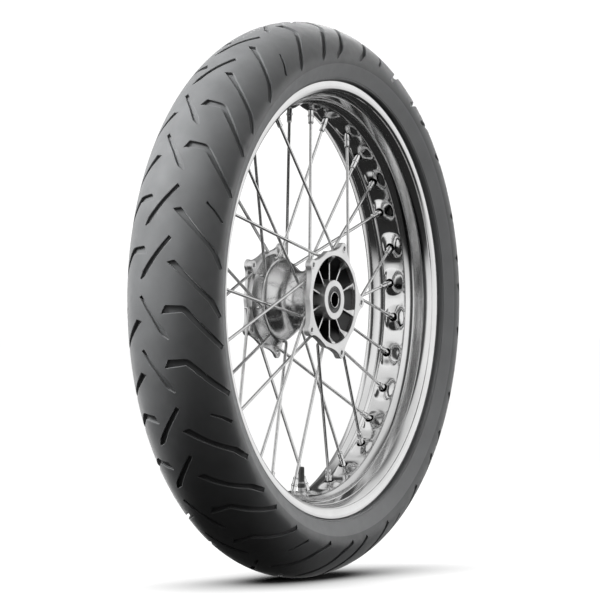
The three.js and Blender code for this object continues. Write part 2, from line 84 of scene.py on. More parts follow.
def lathe(profile, sides, look=0, closed=True, start=0):
    """Turns (radius, y) points round the spin axis."""
    count = len(profile)
    vertices = []
    for j in range(sides):
        for radius, y in profile:
            vertices.append(polar(start + 360 * j / sides, radius, y))
    faces = []
    for j in range(sides):
        here, there = j * count, (j + 1) % sides * count
        for i in range(count if closed else count - 1):
            k = (i + 1) % count
            faces.append([here + i, here + k, there + k, there + i])
    return vertices, faces, look


def mirrored(profile, sign):
    return [(radius, sign * y) for radius, y in profile]


def aimed(part, start, end):
    """Moves a part built round the Y axis so that Y runs from `start` towards `end`."""
    vertices, faces, look = part
    turn = Vector((0, 1, 0)).rotation_difference(end - start).to_matrix()
    return [turn @ v + start for v in vertices], faces, look


def bar(steps, sides, look=0):
    """A turned bar along Y from (distance, radius) points, closed at both ends."""
    profile = [(radius, along) for along, radius in steps]
    return lathe([(0, profile[0][1])] + profile + [(0, profile[-1][1])], sides, look, closed=False)


def swept(path, radius, sides, look=0):
    """A round wire along a path, closed at both ends."""
    vertices, faces = [], []
    normal = None
    for i, point in enumerate(path):
        ahead = (path[min(i + 1, len(path) - 1)] - path[max(i - 1, 0)]).normalized()
        if normal is None:
            normal = ahead.orthogonal().normalized()
        normal = (normal - ahead * normal.dot(ahead)).normalized()
        side = ahead.cross(normal)
        for j in range(sides):
            angle = 2 * math.pi * j / sides
            vertices.append(point + (normal * math.cos(angle) + side * math.sin(angle)) * radius)
    for i in range(len(path) - 1):
        for j in range(sides):
            k = (j + 1) % sides
            faces.append([i * sides + j, i * sides + k, (i + 1) * sides + k, (i + 1) * sides + j])
    faces.append(list(range(sides)))
    faces.append([len(vertices) - 1 - j for j in range(sides)])
    return vertices, faces, look


def inset(loop, amount):
    """Moves a closed 2D loop inwards by `amount` where it runs anticlockwise."""
    moved = []
    for i, point in enumerate(loop):
        before = (point - loop[i - 1]).normalized()
        after = (loop[(i + 1) % len(loop)] - point).normalized()
        normal = Vector((-(before.y + after.y), before.x + after.x))
        normal.normalize()
        moved.append(point + normal * amount)
    return moved


def slab(loops, low, high, bevel, place, look=0, face_look=None):
    """A plate with bevelled edges from 2D loops: the outline anticlockwise, its holes clockwise.
    `place` turns (point, height) into a point of the wheel."""
    levels = [(low, bevel), (low + bevel, 0), (high - bevel, 0), (high, bevel)]
    vertices, sides, starts = [], [], []
    for loop in loops:
        size = len(loop)
        starts.append(len(vertices))
        for height, amount in levels:
            vertices += [place(p, height) for p in inset(loop, amount)]
        for level in range(len(levels) - 1):
            for i in range(size):
                k = (i + 1) % size
                base = starts[-1] + level * size
                sides.append([base + i, base + k, base + size + k, base + size + i])
    rims = [[Vector((p.x, p.y, 0)) for p in inset(loop, bevel)] for loop in loops]
    lookup = []
    for start, loop in zip(starts, loops):
        lookup += [(start, len(loop), i) for i in range(len(loop))]
    bottom, top = [], []
    for triangle in tessellate_polygon(rims):
        bottom.append([lookup[t][0] + lookup[t][2] for t in triangle])
        top.append([lookup[t][0] + 3 * lookup[t][1] + lookup[t][2] for t in triangle])
    if face_look is None:
        return [(vertices, sides + bottom + top, look)]
    return [(vertices, sides + bottom, look), (vertices, top, face_look)]


def clipped(loop, limit, keep_above):
    """Cuts a 2D loop off at x = limit."""
    kept = []
    for i, point in enumerate(loop):
        before = loop[i - 1]
        inside = (point[0] >= limit) == keep_above
        was_inside = (before[0] >= limit) == keep_above
        if inside != was_inside:
            share = (limit - before[0]) / (point[0] - before[0])
            kept.append((limit, before[1] + share * (point[1] - before[1])))
        if inside:
            kept.append(point)
    return kept


def holds(loop, x, y):
    inside = False
    for i, (x1, y1) in enumerate(loop):
        x0, y0 = loop[i - 1]
        if (y0 > y) != (y1 > y) and x < x0 + (y - y0) * (x1 - x0) / (y1 - y0):
            inside = not inside
    return inside


def distance_to(loop, x, y):
    best = 1e9
    for i, (x1, y1) in enumerate(loop):
        x0, y0 = loop[i - 1]
        dx, dy = x1 - x0, y1 - y0
        share = max(0, min(1, ((x - x0) * dx + (y - y0) * dy) / max(1e-9, dx * dx + dy * dy)))
        best = min(best, math.hypot(x - x0 - share * dx, y - y0 - share * dy))
    return best


def wrapped_loops(outlines, width):
    """The outlines' parts that lie in the strip 0..width, where the pattern repeats every `width`."""
    loops = []
    for loop in outlines:
        for shift in (-width, 0, width):
            moved = [(x + shift, y) for x, y in loop]
            cut = clipped(clipped(moved, 0, True), width, False)
            if len(cut) > 2:
                loops.append(cut)
    return loops


def cut_sheet(width, heights, columns, outlines, rims, guides, clearance):
    """Triangulates a flat strip that repeats every `width`, along the outlines and the rims round them.
    Gives its points, its triangles, and for each triangle whether an outline holds it."""
    low, high = heights[0], heights[-1]
    loops = wrapped_loops(outlines, width)
    edge_loops = wrapped_loops(rims, width)
    points = [(0, low), (width, low), (width, high), (0, high)]
    edges = [(0, 1), (1, 2), (2, 3), (3, 0)]
    for loop in loops + edge_loops:
        start = len(points)
        points += loop
        edges += [(start + i, start + (i + 1) % len(loop)) for i in range(len(loop))]
    for i in range(columns + 1):
        for y in heights:
            x = width * i / columns
            border = i in (0, columns) or y in (low, high)
            gap = BORDER_CLEARANCE if border else clearance
            if all(distance_to(loop, x, y) > gap for loop in loops + edge_loops):
                points.append((x, y))
    points += guides
    made = delaunay_2d_cdt([Vector(p) for p in points], edges, [], 0, 1e-4)
    flat, triangles = made[0], made[2]
    inside = []
    for triangle in triangles:
        x = sum(flat[i].x for i in triangle) / 3
        y = sum(flat[i].y for i in triangle) / 3
        inside.append(any(holds(loop, x, y) for loop in loops))
    edge = set()
    for triangle, sunk in zip(triangles, inside):
        if sunk:
            edge.update(triangle)
    return flat, triangles, inside, edge


TOP, BRINK, SUNK = 0, 1, 2


def relief(sheet, place, sunk_look=0):
    """Lifts a cut sheet into space. place(x, y, level) gives the position of a point: on the TOP, on the
    BRINK of an outline, or SUNK inside it. What is sunk, and its walls, have their own look."""
    flat, triangles, inside, edge = sheet
    vertices, faces, known = [], [], {}
    looks = [sunk_look if sunk else 0 for sunk in inside]

    def vertex(index, sunk):
        if (index, sunk) not in known:
            known[index, sunk] = len(vertices)
            level = SUNK if sunk else BRINK if index in edge else TOP
            vertices.append(place(flat[index].x, flat[index].y, level))
        return known[index, sunk]

    owners = {}
    for triangle, sunk in zip(triangles, inside):
        faces.append([vertex(i, sunk) for i in triangle])
        for i in range(3):
            owners[triangle[i], triangle[(i + 1) % 3]] = sunk
    for (a, b), sunk in owners.items():
        if sunk and owners.get((b, a)) is False:
            faces.append([vertex(a, False), vertex(b, False), vertex(b, True), vertex(a, True)])
            looks.append(sunk_look)
    return vertices, faces, looks


def smoothstep(low, high, value):
    share = max(0, min(1, (value - low) / (high - low)))
    return share * share * (3 - 2 * share)


# ---- Pieces ----

def piece(name, parts, looks, body, replaces=(), crease=32):
    """One object from parts of vertices, faces and the number of their look, or a number for each face."""
    vertices, faces, indices = [], [], []
    for part_vertices, part_faces, look in parts:
        start = len(vertices)
        vertices += [v * MM for v in part_vertices]
        faces += [[start + i for i in face] for face in part_faces]
        indices += look if isinstance(look, list) else [look] * len(part_faces)
    mesh = bpy.data.meshes.new(name)
    mesh.from_pydata(vertices, [], faces)
    mesh.polygons.foreach_set("material_index", indices)
    shape = bmesh.new()
    shape.from_mesh(mesh)
    bmesh.ops.remove_doubles(shape, verts=shape.verts, dist=MERGE)
    bmesh.ops.dissolve_degenerate(shape, edges=shape.edges, dist=MERGE / 4)
    bmesh.ops.recalc_face_normals(shape, faces=shape.faces)
    shape.to_mesh(mesh)
    shape.free()
    mesh.shade_smooth()
    mesh.set_sharp_from_angle(angle=math.radians(crease))
    for look in looks:
        mesh.materials.append(look)
    made = bpy.data.objects.new(name, mesh)
    bpy.context.scene.collection.objects.link(made)
    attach(made, body)
    if replaces:
        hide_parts(*replaces)
    return made


# ---- Looks ----

class Look:
    """A principled material with helpers for its procedural detail."""

    def __init__(self, name, metallic, specular=0.5, coat=0, coat_roughness=0.1):
        self.material = bpy.data.materials.new(name)
        self.material.use_nodes = True
        self.tree = self.material.node_tree
        self.shader = self.tree.nodes["Principled BSDF"]
        self.shader.inputs["Metallic"].default_value = metallic
        self.shader.inputs["Specular IOR Level"].default_value = specular
        self.shader.inputs["Coat Weight"].default_value = coat
        self.shader.inputs["Coat Roughness"].default_value = coat_roughness
        self.place = self.tree.nodes.new("ShaderNodeTexCoord").outputs["Object"]
        self.bump_normal = None

    def node(self, kind, **inputs):
        made = self.tree.nodes.new(kind)
        for name, value in inputs.items():
            self.feed(made.inputs[name.replace("_", " ")], value)
        return made

    def feed(self, socket, value):
        if isinstance(value, bpy.types.NodeSocket):
            self.tree.links.new(value, socket)
        else:
            socket.default_value = value

    def sums(self, operation, first, second=0.0):
        made = self.tree.nodes.new("ShaderNodeMath")
        made.operation = operation
        self.feed(made.inputs[0], first)
        self.feed(made.inputs[1], second)
        return made.outputs[0]

    def round_the_axis(self, across, along):
        """Coordinates that change quickly across the spin direction and slowly along it."""
        split = self.node("ShaderNodeSeparateXYZ", Vector=self.place)
        x, y, z = split.outputs
        squares = self.sums("ADD", self.sums("MULTIPLY", x, x), self.sums("MULTIPLY", z, z))
        radius = self.sums("SQRT", squares)
        turn = self.sums("ARCTAN2", z, x)
        joined = self.node("ShaderNodeCombineXYZ")
        self.feed(joined.inputs[0], self.sums("MULTIPLY", radius, across))
        self.feed(joined.inputs[1], self.sums("MULTIPLY", y, across))
        self.feed(joined.inputs[2], self.sums("MULTIPLY", turn, along))
        return joined.outputs[0]

    def noise(self, scale, detail=3.0, roughness=0.5, place=None):
        made = self.node("ShaderNodeTexNoise", Scale=scale, Detail=detail, Roughness=roughness)
        self.feed(made.inputs["Vector"], self.place if place is None else place)
        return made.outputs["Fac"]

    def spread(self, value, low, high, start=0.3, end=0.7):
        made = self.node("ShaderNodeMapRange", Value=value)
        for name, number in (("From Min", start), ("From Max", end), ("To Min", low), ("To Max", high)):
            made.inputs[name].default_value = number
        return made.outputs["Result"]

    def colour(self, value, dark, light, start=0.3, end=0.7):
        ramp = self.node("ShaderNodeValToRGB", Fac=value)
        ramp.color_ramp.elements[0].position = start
        ramp.color_ramp.elements[0].color = (*dark, 1)
        ramp.color_ramp.elements[1].position = end
        ramp.color_ramp.elements[1].color = (*light, 1)
        self.feed(self.shader.inputs["Base Color"], ramp.outputs["Color"])
        return self

    def rough(self, value, low, high):
        self.feed(self.shader.inputs["Roughness"], self.spread(value, low, high))
        return self

    def bump(self, value, height, strength=1.0):
        made = self.node("ShaderNodeBump", Height=value, Distance=height, Strength=strength)
        if self.bump_normal is not None:
            self.feed(made.inputs["Normal"], self.bump_normal)
        self.bump_normal = made.outputs["Normal"]
        self.feed(self.shader.inputs["Normal"], self.bump_normal)
        return self


def grey(level, cool=0.0):
    return (level * (1 - cool), level, level * (1 + cool))


def rubber_look(name, dark, light, rough, sheen=0.0):
    look = Look(name, 0, specular=0.42)
    look.shader.inputs["Sheen Weight"].default_value = sheen
    look.shader.inputs["Sheen Roughness"].default_value = 0.35
    mottle = look.noise(34, 4)
    look.colour(mottle, grey(dark, 0.02), grey(light, 0.02))
    look.rough(look.noise(90, 3), rough - 0.06, rough + 0.06)
    look.bump(look.noise(1500, 2), 0.00012, 0.5)
    look.bump(look.noise(260, 3), 0.0001, 0.35)
    return look.material


def metal_look(name, dark, light, rough, spread, marks, height, turned=True, mottle=30):
    """Bare metal with fine marks: round the spin axis where it is turned, else in all directions."""
    look = Look(name, 1)
    look.colour(look.noise(mottle, 3), grey(dark), grey(light))
    if turned:
        lines = look.noise(1, 2, place=look.round_the_axis(marks, 3))
    else:
        lines = look.noise(marks, 3)
    look.rough(lines, rough - spread, rough + spread)
    look.bump(lines, height, 0.6)
    return look.material


def plain_look(name, dark, light, rough, marks):
    look = Look(name, 0)
    look.colour(look.noise(60, 3), grey(dark), grey(light))
    look.rough(look.noise(marks, 2), rough - 0.06, rough + 0.08)
    look.bump(look.noise(marks, 3), 0.00008, 0.5)
    return look.material


TREAD = rubber_look("tread_rubber", 0.05, 0.062, 0.46, sheen=0.12)
SIDEWALL = rubber_look("sidewall_rubber", 0.1, 0.115, 0.45, sheen=0.1)
POLISHED = metal_look("polished_rim", 0.76, 0.82, 0.13, 0.02, 5000, 0.000002)
DRUM = metal_look("polished_drum", 0.72, 0.8, 0.21, 0.02, 3500, 0.000002, mottle=14)
SATIN = metal_look("satin_face", 0.74, 0.86, 0.38, 0.06, 2600, 0.00001)
# Near-black metal that paints the shade in the hub's recesses and on the ribs' sides.
RECESS_PAINTED_SHADE = metal_look("recess_painted_shade", 0.05, 0.09, 0.42, 0.08, 900, 0.00003, turned=False)
BRIGHT = metal_look("spoke_chrome", 0.66, 0.78, 0.11, 0.03, 1200, 0.000004, turned=False, mottle=200)
NIPPLE = metal_look("nipple_chrome", 0.7, 0.85, 0.12, 0.04, 1600, 0.000004, turned=False, mottle=150)
STEEL = metal_look("ground_steel", 0.5, 0.66, 0.25, 0.06, 4200, 0.000008)
# Near-black metal: dark in the bores, and painted shade in the rim's nipple cups.
DARK_BORE_AND_PAINTED_SHADE = metal_look("dark_bore_and_painted_shade", 0.03, 0.05, 0.5, 0.08, 900, 0.00002)
SEAL = rubber_look("seal_rubber", 0.045, 0.06, 0.45)
LINER = rubber_look("liner_rubber", 0.02, 0.03, 0.7)
CAP = plain_look("cap_plastic", 0.012, 0.02, 0.42, 700)
BRASS = metal_look("nickelled_brass", 0.45, 0.6, 0.28, 0.06, 1500, 0.000008, turned=False)


# ---- Tyre ----

TYRE_RADIUS = 325.3
TREAD_ARC = 64
TREAD_EDGE = 58.6
EDGE_ARC = TREAD_ARC * math.asin(TREAD_EDGE / TREAD_ARC)
SHEET_EDGE = 86.6  # distance from the crown, round the tread, at which the cut sheet ends
PATTERN_SHIFT = -2.5  # the pattern's centre line lies a little to the left of the crown
PATTERN_SCALE = math.radians(1) * 321
GROOVE_DEPTH = 3.6
BRINK_DROP = 0.35  # the groove's edge is broken by this much
BRINK_WIDTH = 0.6
GROOVE_END_DEPTH = 0.5  # the grooves run out towards the sidewall
GROOVE_FADE = (66, 84)  # distances from the crown between which they do
SIDEWALL_FOOT = (262.6, 52.9)
SHOULDER = [(287.02, 58.6), (283, 59.2), (279, 59.5), (278.7, 58.9), (277.9, 58.55), (277.2, 58.8),
            SIDEWALL_FOOT]
BEAD = [SIDEWALL_FOOT, (259.1, 51.5), (258.8, 50.9), (258.3, 50.7), (258.0, 51.0), (257.4, 50.7),
        (256.8, 49.6), (256.5, 47.8), (256.6, 41.5), (250, 37.7), (241.6, 37.7), (241.6, 26)]
CARCASS = [(250, 30), (263, 42), (281.5, 50), (300, 37.5), (311, 19), (315.3, 0)]


def tread_point(distance):
    """(radius, side) at a distance from the crown round the tyre's outside, + towards the right."""
    sign = 1 if distance >= 0 else -1
    left = abs(distance)
    if left <= EDGE_ARC:
        angle = left / TREAD_ARC
        return TYRE_RADIUS - TREAD_ARC + TREAD_ARC * math.cos(angle), sign * TREAD_ARC * math.sin(angle)
    left -= EDGE_ARC
    for (r0, s0), (r1, s1) in zip(SHOULDER, SHOULDER[1:]):
        length = math.hypot(r1 - r0, s1 - s0)
        if left <= length:
            share = left / length
            return r0 + share * (r1 - r0), sign * (s0 + share * (s1 - s0))
        left -= length
    return SHOULDER[-1][0], sign * SHOULDER[-1][1]


def groove_depth(distance):
    fullness = 1 - smoothstep(*GROOVE_FADE, abs(distance))
    return GROOVE_END_DEPTH + (GROOVE_DEPTH - GROOVE_END_DEPTH) * fullness


def tread_place(x, distance, level):
    radius, side = tread_point(distance)
    depth = {TOP: 0, BRINK: BRINK_DROP, SUNK: groove_depth(distance)}[level]
    inwards = Vector((TYRE_RADIUS - TREAD_ARC - radius, -side)).normalized() * depth
    radius += inwards.x
    side += inwards.y
    return polar(90 + x / PATTERN_SCALE, radius, -side)


def rounded_path(points, reach=0.2, steps=4):
    path = [points[0]]
    for before, corner, after in zip(points, points[1:], points[2:]):
        start = corner.lerp(before, reach)
        end = corner.lerp(after, reach)
        for i in range(steps + 1):
            share = i / steps
            path.append(start.lerp(corner, share).lerp(corner.lerp(end, share), share))
    path.append(points[-1])
    return path


def groove(points, widths, slants=(0, 0), rounding=0.2):
    """The outline of a groove from (degrees, distance) points and its width at each."""
    corners = [Vector((degrees * PATTERN_SCALE, distance)) for degrees, distance in points]
    path = rounded_path(corners, rounding)
    lengths = [0]
    for a, b in zip(path, path[1:]):
        lengths.append(lengths[-1] + (b - a).length)
    marks = [0]
    for a, b in zip(corners, corners[1:]):
        marks.append(marks[-1] + (b - a).length)
    marks = [m * lengths[-1] / marks[-1] for m in marks]
    left, right = [], []
    for i, point in enumerate(path):
        ahead = (path[min(i + 1, len(path) - 1)] - path[max(i - 1, 0)]).normalized()
        across = Vector((-ahead.y, ahead.x))
        k = max(j for j in range(len(marks) - 1) if marks[j] <= lengths[i] + 1e-6)
        share = (lengths[i] - marks[k]) / (marks[k + 1] - marks[k])
        half = (widths[k] + share * (widths[k + 1] - widths[k])) / 2
        lean = ahead * (slants[0] if i == 0 else slants[1] if i == len(path) - 1 else 0)
        left.append(point + across * half + lean)
        right.append(point - across * half - lean)
    return [(p.x, p.y) for p in left + right[::-1]]


def widened(loop, amount):
    """The same closed curve, moved outwards."""
    points = [Vector(p) for p in loop]
    area = sum(a.x * b.y - b.x * a.y for a, b in zip(points, points[1:] + points[:1]))
    return [(p.x, p.y) for p in inset(points, -math.copysign(amount, area))]


def subdivided(loop, longest=4.0):
    points = []
    for i, (x1, y1) in enumerate(loop):
        x0, y0 = loop[i - 1]
        count = max(1, math.ceil(math.hypot(x1 - x0, y1 - y0) / longest))
        for step in range(1, count + 1):
            points.append((x0 + (x1 - x0) * step / count, y0 + (y1 - y0) * step / count))
    return points


def tread_grooves():
    """The grooves of one period: each kind on the right half, then its glide reflection."""
    twin = 10.75  # degrees between the two grooves of a pair
    grooves = [groove([(28.0, 75), (26.1, 65), (24.4, 52.2)], [3.4, 3.0, 2.2])]
    for shift in (0, twin):
        long_side = [(38.2 + shift, 80), (34.5 + shift, 68.3), (30.6 + shift, 45), (26.6 + shift, 20.8)]
        bent_side = [(55.8 + shift, 80.8), (46.8 + shift, 36.7), (46.9 + shift, 13.3)]
        middle = [(21.8 + shift, 17.5), (26.0 + shift, -0.8), (29.0 + shift, -12.5), (30.2 + shift, -18)]
        grooves.append(groove(long_side, [5.6, 6.2, 5.2, 7.6], slants=(0, 2.5), rounding=0.12))
        grooves.append(groove(bent_side, [5.8, 6.8, 9.0], slants=(0, 2.5), rounding=0.12))
        grooves.append(groove(middle, [4.4, 5.0, 7.0, 1.6], rounding=0.3))
    outlines = []
    for loop in grooves:
        loop = subdivided(loop)
        half_period = PERIOD / 2 * PATTERN_SCALE
        for across, along in ((1, 0), (-1, half_period)):
            outlines.append([(x + along, across * y + PATTERN_SHIFT) for x, y in loop][::across])
    period = PERIOD * PATTERN_SCALE
    wrapped = []
    for loop in outlines:
        turns = math.floor(sum(x for x, _ in loop) / len(loop) / period)
        wrapped.append([(x - turns * period, y) for x, y in loop])
    return wrapped


def tyre_parts():
    rows = 44
    heights = [-SHEET_EDGE + 2 * SHEET_EDGE * i / rows for i in range(rows + 1)]
    grooves = tread_grooves()
    rims = [widened(loop, BRINK_WIDTH) for loop in grooves]
    sheet = cut_sheet(PERIOD * PATTERN_SCALE, heights, COLUMNS, grooves, rims, [], 0.5)
    parts = repeated(relief(sheet, tread_place), REPEATS, PERIOD)
    radius, side = tread_point(SHEET_EDGE)
    for sign in (-1, 1):
        foot_radius, foot_side = SIDEWALL_FOOT
        steps = [(radius + (foot_radius - radius) * i / 4, side + (foot_side - side) * i / 4)
                 for i in range(4)]
        outside = [(r, sign * s) for r, s in steps + BEAD]
        inside = [(r, sign * s) for r, s in [BEAD[-1]] + CARCASS]
        parts.append(lathe(outside, COLUMNS * REPEATS, 1, closed=False, start=90))
        parts.append(lathe(inside, COLUMNS * REPEATS, 1, closed=False, start=90))
    return parts


piece("tyre_skin", tyre_parts(), [TREAD, SIDEWALL], "wheel", ["tyre"], crease=24)


# ---- Spokes: the same lacing as the frame's ----

SPOKE_RADIUS = 1.8
NIPPLE_LENGTH = 25
HEAD_RADIUS = 232.2
SPOKE_END_DEPTH = 2.7
BEND_REACH = 4.0  # the bend at the hub starts and ends this far from its corner
FAMILY_KEYS = ("name", "first", "turn", "hub_radius", "hub_y", "rim_y", "socket")
FAMILIES = [dict(zip(FAMILY_KEYS, values)) for values in (
    ("left_outer", 5.625, -41, 56, 38.9, 2.5, 41.2),
    ("right_outer", 16.875, -41, 55, -34.5, 0, -37.5),
    ("left_inner", 28.125, 27.3, 49.5, 25, 2.5, 28.7),
    ("right_inner", 39.375, 31, 44, -22.1, 0, -26.1),
)]


def spoke_ends(family, index=0):
    angle = family["first"] + PERIOD * index
    bend = polar(angle + family["turn"], family["hub_radius"], family["hub_y"])
    head = polar(angle, HEAD_RADIUS, family["rim_y"])
    return bend, head


def spoke_wire(family, index):
    bend, head = spoke_ends(family, index)
    outward = math.copysign(1, family["hub_y"])
    away = (head - bend).normalized()
    stub = Vector((0, outward, 0))
    path = [head - away * 3]
    for share in (0.1, 0.3, 0.5, 0.7, 0.9):
        path.append(head.lerp(bend, share))
    start, end = bend + away * BEND_REACH, bend + stub * BEND_REACH
    for i in range(6):
        share = i / 5
        path.append(start.lerp(bend, share).lerp(bend.lerp(end, share), share))
    tip = bend.copy()
    tip.y = family["socket"] + outward * (SPOKE_END_DEPTH - 0.3)
    path.append(tip)
    return swept(path, SPOKE_RADIUS, 14)


def nipple(family, index):
    bend, head = spoke_ends(family, index)
    top = NIPPLE_LENGTH
    steps = [(0.3, 2.6), (0.6, 3.9), (2.2, 3.9), (3.4, 3.2), (top - 11.2, 3.2), (top - 10.6, 3.9),
             (top - 9.2, 3.9), (top - 8.6, 3.2), (top - 2.6, 3.0), (top - 2.2, 3.25), (top - 1.0, 3.25),
             (top - 0.3, 2.8), (top, 2.0)]
    return aimed(bar(steps, 20), head, bend)


for family in FAMILIES:
    for index in range(REPEATS):
        label = family["name"] + "_" + str(index + 1)
        piece("wire_" + label, [spoke_wire(family, index)], [BRIGHT], "wheel",
              ["spoke_" + label], crease=50)
        piece("nipple_" + label, [nipple(family, index)], [NIPPLE], "wheel")


# ---- Rim ----

WELL_RADIUS = 230
WELL_HALF = 14
WELL_FLOOR = 234.2
MOUND_HEIGHT = 6.4
MOUND_TOP = 3.0
MOUND_BASE = 18.5
EDGE_FADE = 5  # the mounds die out this far from the well's edges
CUP_RADIUS = 5.5  # the opening round each nipple
CUP_DEPTH = 6
GUIDE_MARGIN = 0.3  # the rings' points stay this far inside the sheet
MOUND_RINGS = [(2, 8), (5.9, 28)] + [(6.6 + 1.1 * i, 30) for i in range(11)]  # radius and points
RIM_HUB_SIDE = [(230, 14), (230.5, 14.9), (233, 16.2), (236.1, 22.6), (236.3, 23.4), (237.1, 23.7),
                (237.2, 24.3), (236.6, 24.6), (238.1, 32.8), (238.3, 33.5), (239.2, 33.8), (239.3, 34.6),
                (238.6, 34.9), (242.4, 42.6), (243.6, 43.2), (243.9, 44.3), (246.2, 45.7), (246.7, 45.9),
                (254.6, 47), (255.1, 46.8), (255.3, 46.3)]
RIM_TYRE_SIDE = [(255.2, 45.2), (254, 40.5), (250, 38.1), (241.3, 38.1), (240.8, 24),
                 (WELL_FLOOR, WELL_HALF)]


def mound_axes():
    """Where each mound of one period stands on the flat sheet, and the way its spoke runs."""
    axes = []
    for family in FAMILIES:
        bend, head = spoke_ends(family)
        away = (bend - head).normalized()
        foot = head + away * ((HEAD_RADIUS - WELL_RADIUS) / abs(away.dot(polar(family["first"], 1, 0))))
        degrees = math.degrees(math.atan2(foot.z, foot.x))
        axes.append((math.radians(degrees) * WELL_RADIUS, foot.y, away))
    return axes


MOUNDS = mound_axes()
RIM_PERIOD = math.radians(PERIOD) * WELL_RADIUS


def rim_place(x, y, level):
    angle = math.degrees(x / WELL_RADIUS)
    point = polar(angle, WELL_RADIUS, y)
    for shift in (-RIM_PERIOD, 0, RIM_PERIOD):
        for centre, middle, away in MOUNDS:
            distance = math.hypot(x - centre - shift, y - middle)
            if distance < MOUND_BASE:
                lift = MOUND_HEIGHT * (1 - smoothstep(MOUND_TOP, MOUND_BASE, distance))
                lift *= smoothstep(0, EDGE_FADE, WELL_HALF - abs(y))
                if level == SUNK:
                    lift -= CUP_DEPTH
                point += turned_by(math.degrees(shift / WELL_RADIUS)) @ away * lift
    return point


def circle(x, y, radius, count):
    step = 2 * math.pi / count
    return [(x + radius * math.cos(step * i), y + radius * math.sin(step * i)) for i in range(count)]


def rim_parts():
    rows = 14
    heights = [-WELL_HALF + 2 * WELL_HALF * i / rows for i in range(rows + 1)]
    cups = [circle(x, y, CUP_RADIUS, 24) for x, y, _ in MOUNDS]
    guides = []
    for x, y, _ in MOUNDS:
        for radius, count in MOUND_RINGS:
            guides += [p for p in circle(x, y, radius, count)
                       if abs(p[1]) < WELL_HALF - GUIDE_MARGIN
                       and GUIDE_MARGIN < p[0] < RIM_PERIOD - GUIDE_MARGIN]
    sheet = cut_sheet(RIM_PERIOD, heights, COLUMNS, cups, [], guides, 1.0)
    # The cups and their walls take the near-black look: painted shade in the holes round the nipples.
    parts = repeated(relief(sheet, rim_place, 1), REPEATS, PERIOD)
    for sign in (-1, 1):
        side = [(r, sign * y) for r, y in RIM_HUB_SIDE + RIM_TYRE_SIDE]
        parts.append(lathe(side, COLUMNS * REPEATS, closed=False))
    floor = [(WELL_FLOOR, WELL_HALF), (WELL_FLOOR, -WELL_HALF)]
    parts.append(lathe(floor, COLUMNS * REPEATS, closed=False))
    return parts


piece("rim_shell", rim_parts(), [POLISHED, DARK_BORE_AND_PAINTED_SHADE], "wheel", ["rim"], crease=40)


# ---- Hub ----

HUB_SIDES = 96
BOSS_FACE = 44.9
LUG_COUNT = 5
LUG_START = -3
LUG_CIRCLE = 64
LUG_END = 7
LUG_HOLE = 2.5
LUG_ARC = 80  # degrees each way that a lug's round end covers
LUG_SHOULDER = 12.5  # degrees from a lug's middle to where its side swings in
LUG_PAD = 4.9
PAD_HEIGHT = 0.3
LUG_BOSS = 6.2
RING_RADIUS = 58.5
RING_BEVEL = 0.7
RIB_COUNT = 10
RIB_START = 18
RIB_FACE = 37.5
RIB_HALF = 1.0
RIB_INSET = 0.8  # how far a rib runs into the ring
STRIP_LIFT = 0.35  # the bright strip on a rib's front stands this proud of it
WEB_REACH = 10  # the ribs' ends rise and widen over this length to meet the ring
WEB_HALF = 5.2
WEB_FACE = 43.9
SIDES = {
    "right": {"sign": -1, "back": 37.5, "recess": 51, "bosses": []},
    "left": {"sign": 1, "back": 41.2, "recess": 48, "bosses": [35, 38.8, 35, 35]},
}


def quadratic(start, corner, end, steps):
    shares = [i / steps for i in range(steps)]
    return [start.lerp(corner, share).lerp(corner.lerp(end, share), share) for share in shares]


def flat(degrees, radius):
    angle = math.radians(degrees)
    return Vector((radius * math.cos(angle), radius * math.sin(angle)))


def carrier_loops(recess):
    """The carrier ring's outline with its lugs, and its holes."""
    outline, holes = [], []
    half_step = 180 / LUG_COUNT
    for k in range(LUG_COUNT):
        middle = LUG_START + 360 / LUG_COUNT * k
        centre = flat(middle, LUG_CIRCLE)
        first = centre + flat(middle - LUG_ARC, LUG_END)
        last = centre + flat(middle + LUG_ARC, LUG_END)
        corners = [flat(middle + turn, RING_RADIUS - 1) for turn in (-LUG_SHOULDER, LUG_SHOULDER)]
        outline += quadratic(flat(middle - half_step, RING_RADIUS), corners[0], first, 12)
        for i in range(14):
            outline.append(centre + flat(middle - LUG_ARC + 2 * LUG_ARC * i / 14, LUG_END))
        outline += quadratic(last, corners[1], flat(middle + half_step, RING_RADIUS), 12)
        holes.append([centre + flat(-360 * i / 20, LUG_HOLE) for i in range(20)])
    holes.append([flat(-360 * i / HUB_SIDES, recess) for i in range(HUB_SIDES)])
    return [outline] + holes


def hub_body():
    outside = [(54.5, -40), (54.6, -38.6), (53, -35.5), (47.5, -28.5), (41.5, -21.5), (37.6, -15.5),
               (35.2, -10), (34.1, -5.5), (33.6, -2), (33.8, 1.5), (34.6, 4.8), (35.9, 7.9), (37.7, 10.8),
               (40, 13.7), (42.5, 16.8), (45, 20), (46.6, 22.2), (47.3, 23.6), (47.4, 24.4), (48.3, 25),
               (48.9, 27.3), (53.6, 34.6), (54.1, 35.4), (53.8, 36.6), (52.6, 42.2), (48.8, 42.2)]
    left = [(48, 41.4), (47.4, 38.6), (30, 22), (27, 21), (25.4, 22), (23.1, 44.4), (22.6, BOSS_FACE),
            (15.9, BOSS_FACE), (15.4, 44.5), (15.4, 34.1), (12.5, 34.1)]
    right = [(12.5, -34.1), (15.4, -34.1), (15.4, -44.5), (15.9, -BOSS_FACE), (22.6, -BOSS_FACE),
             (23.1, -44.4), (25.4, -22), (27, -21), (30, -22), (50.4, -38.8), (51, -39.8)]
    shell = lathe(outside, HUB_SIDES, 0, closed=False)
    # The recesses take the near-black look, which paints the shade in them.
    left_recess = lathe([outside[-1]] + left[:5], HUB_SIDES, 2, closed=False)
    left_boss = lathe(left[4:], HUB_SIDES, 1, closed=False)
    bore = lathe([left[-1], right[0]], HUB_SIDES, 1, closed=False)
    right_boss = lathe(right[:7], HUB_SIDES, 1, closed=False)
    right_recess = lathe(right[6:] + [outside[0]], HUB_SIDES, 2, closed=False)
    return [shell, left_recess, left_boss, bore, right_boss, right_recess]


